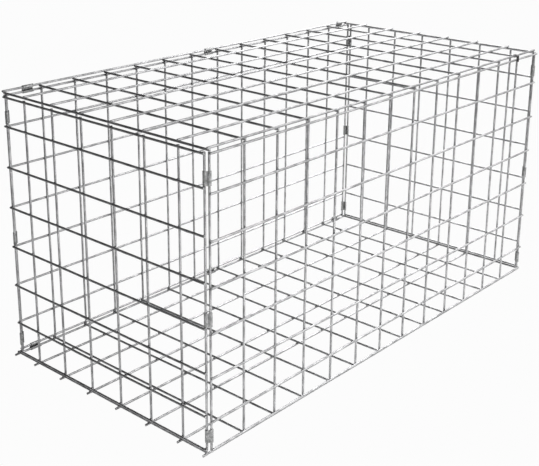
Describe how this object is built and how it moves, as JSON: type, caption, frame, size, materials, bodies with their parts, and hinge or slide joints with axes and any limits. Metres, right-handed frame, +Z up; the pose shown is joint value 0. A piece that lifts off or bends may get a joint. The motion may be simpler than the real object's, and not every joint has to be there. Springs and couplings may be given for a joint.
{
  "type": "welded wire cage",
  "caption": "Long box cage of welded wire mesh panels joined by folded sheet clips that act as hinges, with a lid hooked at the front.",
  "frame": {"origin": "middle of the footprint, on the surface that the cage stands on", "axes": "+X along the cage to its right end, +Z up, -Y is the front"},
  "size_m": [1.021, 0.5161, 0.517],
  "materials": {
    "galvanised_wire": "hot-dip galvanised drawn wire, satin grey with brighter runs of zinc",
    "galvanised_clip_sheet": "galvanised strip, duller than the wire, folded",
    "blackened_spring_steel": "blackened spring strip, satin"
  },
  "bodies": {
    "back_panel": {"back_panel_level_wires": "galvanised_wire", "back_panel_upright_wires": "galvanised_wire", "floor_hinge_left_clip": "galvanised_clip_sheet", "floor_hinge_middle_clip": "galvanised_clip_sheet", "floor_hinge_right_clip": "galvanised_clip_sheet", "lid_hinge_left_clip": "galvanised_clip_sheet", "lid_hinge_middle_clip": "galvanised_clip_sheet", "lid_hinge_right_clip": "galvanised_clip_sheet"},
    "left_end": {"back_left_lower_clip": "galvanised_clip_sheet", "back_left_middle_clip": "galvanised_clip_sheet", "back_left_upper_clip": "galvanised_clip_sheet", "front_left_lower_clip": "galvanised_clip_sheet", "front_left_middle_clip": "galvanised_clip_sheet", "front_left_upper_clip": "galvanised_clip_sheet", "left_end_level_wires": "galvanised_wire", "left_end_upright_wires": "galvanised_wire"},
    "right_end": {"back_right_lower_clip": "galvanised_clip_sheet", "back_right_middle_clip": "galvanised_clip_sheet", "back_right_upper_clip": "galvanised_clip_sheet", "front_right_lower_clip": "galvanised_clip_sheet", "front_right_middle_clip": "galvanised_clip_sheet", "front_right_upper_clip": "galvanised_clip_sheet", "right_end_level_wires": "galvanised_wire", "right_end_upright_wires": "galvanised_wire"},
    "front_panel": {"front_panel_level_wires": "galvanised_wire", "front_panel_upright_wires": "galvanised_wire"},
    "lid": {"lid_cross_wires": "galvanised_wire", "lid_long_wires": "galvanised_wire"},
    "floor": {"floor_cross_wires": "galvanised_wire", "floor_long_wires": "galvanised_wire"},
    "lid_hook": {"lid_hook_clip": "blackened_spring_steel"}
  },
  "joints": [
    {"name": "left_end_hinge", "type": "hinge", "parent": "back_panel", "child": "left_end", "pos_m": [-0.49491, 0.25, 0.2585], "axis": [0, 0, 1], "range_deg": [-86, 86]},
    {"name": "right_end_hinge", "type": "hinge", "parent": "back_panel", "child": "right_end", "pos_m": [0.49491, 0.25, 0.2585], "axis": [0, 0, 1], "range_deg": [-86, 86]},
    {"name": "front_panel_hinge", "type": "hinge", "parent": "left_end", "child": "front_panel", "pos_m": [-0.49491, -0.25, 0.2585], "axis": [0, 0, -1], "range_deg": [-86, 86]},
    {"name": "lid_hinge", "type": "hinge", "parent": "back_panel", "child": "lid", "pos_m": [0, 0.2536, 0.5137], "axis": [-1, 0, 0], "range_deg": [0, 250]},
    {"name": "floor_hinge", "type": "hinge", "parent": "back_panel", "child": "floor", "pos_m": [0, 0.2536, 0.0033], "axis": [1, 0, 0], "range_deg": [0, 180]},
    {"name": "lid_hook_swivel", "type": "hinge", "parent": "lid", "child": "lid_hook", "pos_m": [0.4091, -0.25, 0.5137], "axis": [-1, 0, 0], "range_deg": [0, 90]}
  ],
  "couplings": [
    {"joint": "right_end_hinge", "follows": "left_end_hinge", "ratio": 1},
    {"joint": "front_panel_hinge", "follows": "left_end_hinge", "ratio": 1}
  ]
}
